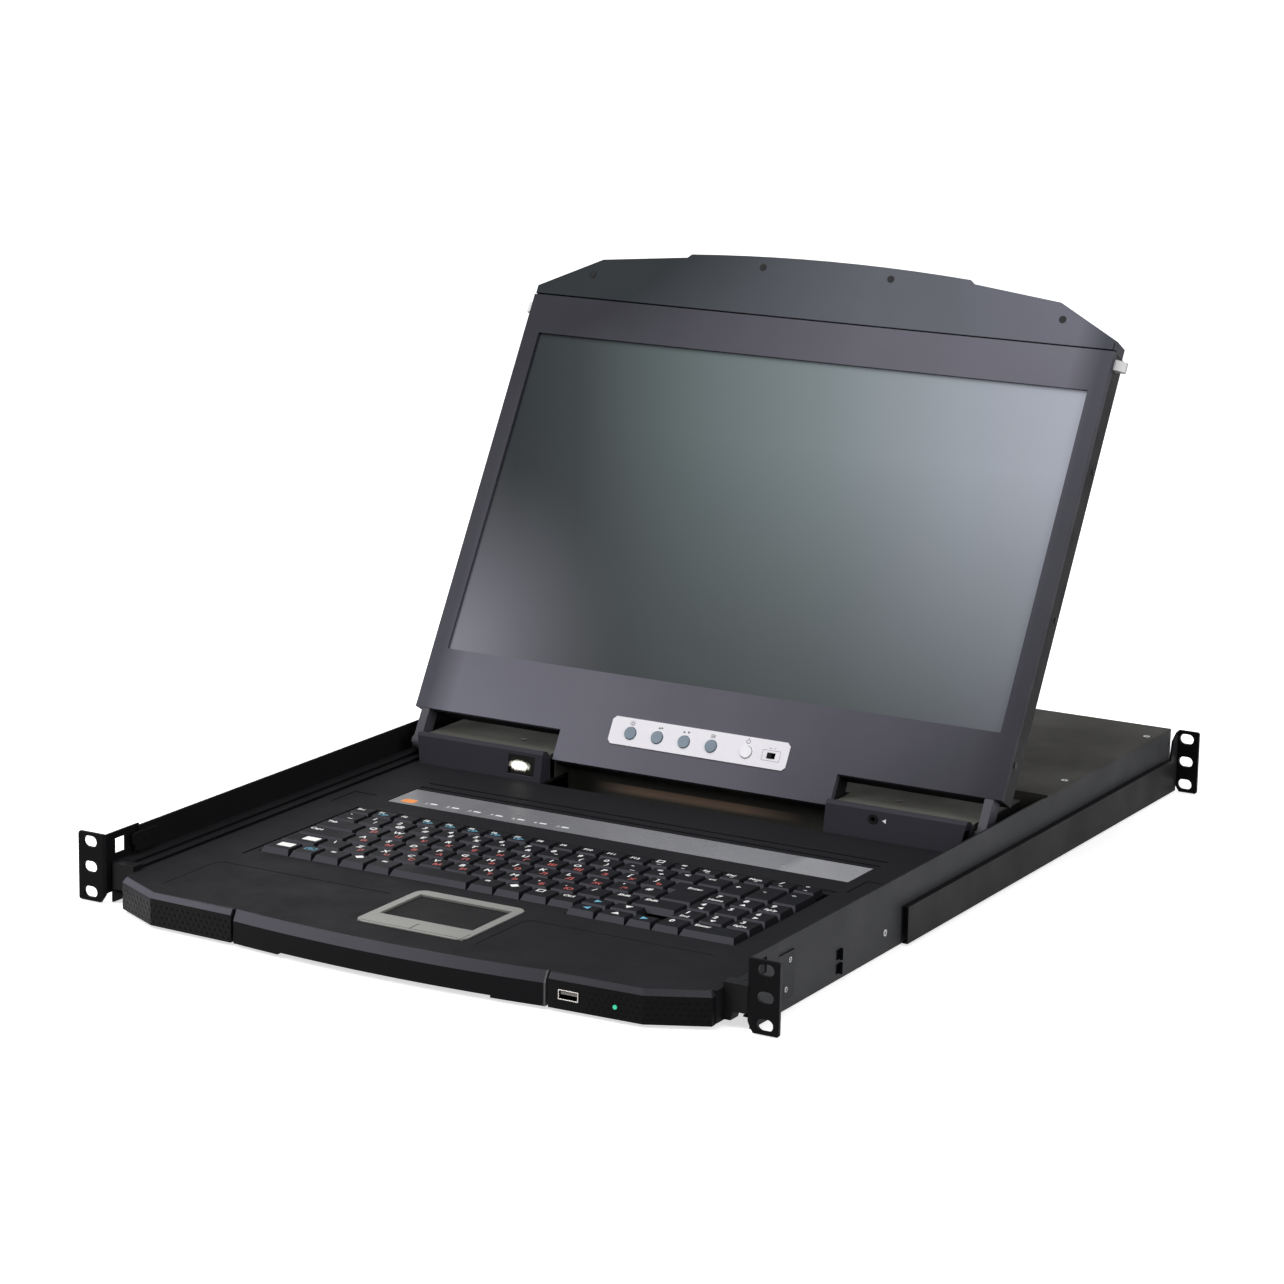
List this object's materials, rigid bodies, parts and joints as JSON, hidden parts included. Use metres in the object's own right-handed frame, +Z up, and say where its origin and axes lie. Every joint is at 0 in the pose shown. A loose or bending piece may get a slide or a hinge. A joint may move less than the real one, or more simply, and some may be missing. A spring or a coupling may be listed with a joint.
{
  "type": "rackmount console drawer",
  "caption": "Shallow rackmount console drawer: keyboard and touchpad slide out of a steel chassis, and a flat screen folds down over them.",
  "frame": {"origin": "centre of the front rack holes, on the mating face at the back of the front ears", "axes": "+X to the right seen from the front, +Y towards the back of the rack, +Z up"},
  "size_m": [0.4826, 0.6445, 0.3558],
  "materials": {
    "black_steel": "satin",
    "cover_steel": "satin",
    "ear_steel": "satin",
    "slide_steel": "satin",
    "deck_plastic": "matte",
    "handle_plastic": "satin",
    "grip_plastic": "matte",
    "bezel_plastic": "matte",
    "screen_glass": "satin",
    "silver_plastic": "satin",
    "pad_plastic": "matte",
    "strip_plastic": "gloss",
    "key_plastic": "matte",
    "plate_white": "satin",
    "button_slate": "satin",
    "button_white": "satin",
    "hook_white": "satin",
    "port_steel": "polished",
    "inner_metal": "satin",
    "lamp_clear": "clear",
    "led_green": "gloss",
    "board_green": "matte",
    "socket_black": "matte",
    "screw_steel": "satin"
  },
  "bodies": {
    "chassis": {"chassis_pan": "black_steel", "rear_cover": "cover_steel", "rear_panel": "black_steel", "front_ears": "ear_steel", "slide_outer": "slide_steel", "latch_catches": "slide_steel", "main_board": "board_green", "power_supply": "board_green", "rear_connectors": "port_steel", "power_inlet": "socket_black", "chassis_screws": "screw_steel"},
    "mains_rocker": {"power_rocker": "socket_black"},
    "left_bracket": {"rear_bracket_left": "black_steel"},
    "right_bracket": {"rear_bracket_right": "black_steel"},
    "middle_slides": {"slide_middle": "slide_steel"},
    "drawer": {"tray_pan": "black_steel", "keyboard_deck": "deck_plastic", "handle_bar": "handle_plastic", "grip_left": "grip_plastic", "grip_right": "grip_plastic", "slide_inner": "slide_steel", "touchpad_frame": "silver_plastic", "touchpad_pad": "pad_plastic", "status_strip": "strip_plastic", "keyboard_base": "deck_plastic", "usb_port": "port_steel", "power_led": "led_green", "hinge_cover_left": "bezel_plastic", "hinge_cover_right": "bezel_plastic", "lamp_lens": "lamp_clear", "upgrade_jack": "socket_black", "tray_rear_cover": "black_steel", "hinge_brackets": "inner_metal", "drawer_screws": "screw_steel"},
    "touch_left": {"touchpad_button_left": "silver_plastic"},
    "touch_right": {"touchpad_button_right": "silver_plastic"},
    "screen": {"lcd_bezel": "bezel_plastic", "lcd_back_cover": "black_steel", "lcd_panel": "screen_glass", "upper_handle": "handle_plastic", "control_plate": "plate_white", "control_board": "board_green", "hinge_arms": "bezel_plastic", "hinge_pins": "inner_metal", "lcd_screws": "screw_steel"},
    "menu_1": {"menu_button_1": "button_slate"},
    "menu_2": {"menu_button_2": "button_slate"},
    "menu_3": {"menu_button_3": "button_slate"},
    "menu_4": {"menu_button_4": "button_slate"},
    "panel_power": {"panel_power_button": "button_white"},
    "mode": {"mode_switch": "pad_plastic"},
    "hook_left": {"latch_hook_left": "hook_white"},
    "hook_right": {"latch_hook_right": "hook_white"},
    "row_function": {"keys_function": "key_plastic"},
    "row_number": {"keys_number": "key_plastic"},
    "row_upper": {"keys_upper": "key_plastic"},
    "row_home": {"keys_home": "key_plastic"},
    "row_lower": {"keys_lower": "key_plastic"},
    "row_bottom": {"keys_bottom": "key_plastic"},
    "space": {"space_bar": "key_plastic"}
  },
  "joints": [
    {"name": "drawer_slide", "type": "slide", "parent": "chassis", "child": "drawer", "axis": [0, -1, 0], "range_m": [0, 0.34]},
    {"name": "slide_middle_run", "type": "slide", "parent": "chassis", "child": "middle_slides", "axis": [0, -1, 0], "range_m": [0, 0.17]},
    {"name": "screen_hinge", "type": "hinge", "parent": "drawer", "child": "screen", "pos_m": [0, 0.3299, 0.01], "axis": [1, 0, 0], "range_deg": [0, 119.46]},
    {"name": "menu_1_press", "type": "slide", "parent": "screen", "child": "menu_1", "axis": [0, 0.8707, -0.4918], "range_m": [0, 0.001], "stiffness_N_per_m": 300, "springref_m": -0.0008},
    {"name": "menu_2_press", "type": "slide", "parent": "screen", "child": "menu_2", "axis": [0, 0.8707, -0.4918], "range_m": [0, 0.001], "stiffness_N_per_m": 300, "springref_m": -0.0008},
    {"name": "menu_3_press", "type": "slide", "parent": "screen", "child": "menu_3", "axis": [0, 0.8707, -0.4918], "range_m": [0, 0.001], "stiffness_N_per_m": 300, "springref_m": -0.0008},
    {"name": "menu_4_press", "type": "slide", "parent": "screen", "child": "menu_4", "axis": [0, 0.8707, -0.4918], "range_m": [0, 0.001], "stiffness_N_per_m": 300, "springref_m": -0.0008},
    {"name": "panel_power_press", "type": "slide", "parent": "screen", "child": "panel_power", "axis": [0, 0.8707, -0.4918], "range_m": [0, 0.001], "stiffness_N_per_m": 300, "springref_m": -0.0008},
    {"name": "mode_slide", "type": "slide", "parent": "screen", "child": "mode", "axis": [1, 0, 0], "range_m": [0, 0.0024]},
    {"name": "hook_left_press", "type": "slide", "parent": "screen", "child": "hook_left", "axis": [1, 0, 0], "range_m": [0, 0.0066], "stiffness_N_per_m": 400, "springref_m": -0.002},
    {"name": "hook_right_press", "type": "slide", "parent": "screen", "child": "hook_right", "axis": [-1, 0, 0], "range_m": [0, 0.0066], "stiffness_N_per_m": 400, "springref_m": -0.002},
    {"name": "touch_left_press", "type": "slide", "parent": "drawer", "child": "touch_left", "axis": [0, 0, -1], "range_m": [0, 0.0008], "stiffness_N_per_m": 500, "springref_m": -0.001},
    {"name": "touch_right_press", "type": "slide", "parent": "drawer", "child": "touch_right", "axis": [0, 0, -1], "range_m": [0, 0.0008], "stiffness_N_per_m": 500, "springref_m": -0.001},
    {"name": "keys_function_press", "type": "slide", "parent": "drawer", "child": "row_function", "axis": [0, 0, -1], "range_m": [0, 0.0022], "stiffness_N_per_m": 400, "springref_m": -0.0015},
    {"name": "keys_number_press", "type": "slide", "parent": "drawer", "child": "row_number", "axis": [0, 0, -1], "range_m": [0, 0.0022], "stiffness_N_per_m": 400, "springref_m": -0.0015},
    {"name": "keys_upper_press", "type": "slide", "parent": "drawer", "child": "row_upper", "axis": [0, 0, -1], "range_m": [0, 0.0022], "stiffness_N_per_m": 400, "springref_m": -0.0015},
    {"name": "keys_home_press", "type": "slide", "parent": "drawer", "child": "row_home", "axis": [0, 0, -1], "range_m": [0, 0.0022], "stiffness_N_per_m": 400, "springref_m": -0.0015},
    {"name": "keys_lower_press", "type": "slide", "parent": "drawer", "child": "row_lower", "axis": [0, 0, -1], "range_m": [0, 0.0022], "stiffness_N_per_m": 400, "springref_m": -0.0015},
    {"name": "keys_bottom_press", "type": "slide", "parent": "drawer", "child": "row_bottom", "axis": [0, 0, -1], "range_m": [0, 0.0022], "stiffness_N_per_m": 400, "springref_m": -0.0015},
    {"name": "space_press", "type": "slide", "parent": "drawer", "child": "space", "axis": [0, 0, -1], "range_m": [0, 0.0022], "stiffness_N_per_m": 250, "springref_m": -0.001},
    {"name": "mains_switch", "type": "hinge", "parent": "chassis", "child": "mains_rocker", "pos_m": [0.155, 0.602, -0.004], "axis": [-1, 0, 0], "range_deg": [0, 12]},
    {"name": "left_bracket_slide", "type": "slide", "parent": "chassis", "child": "left_bracket", "axis": [0, 1, 0], "range_m": [0, 0.12]},
    {"name": "right_bracket_slide", "type": "slide", "parent": "chassis", "child": "right_bracket", "axis": [0, 1, 0], "range_m": [0, 0.12]}
  ],
  "couplings": [
    {"joint": "slide_middle_run", "follows": "drawer_slide", "ratio": 0.5}
  ]
}
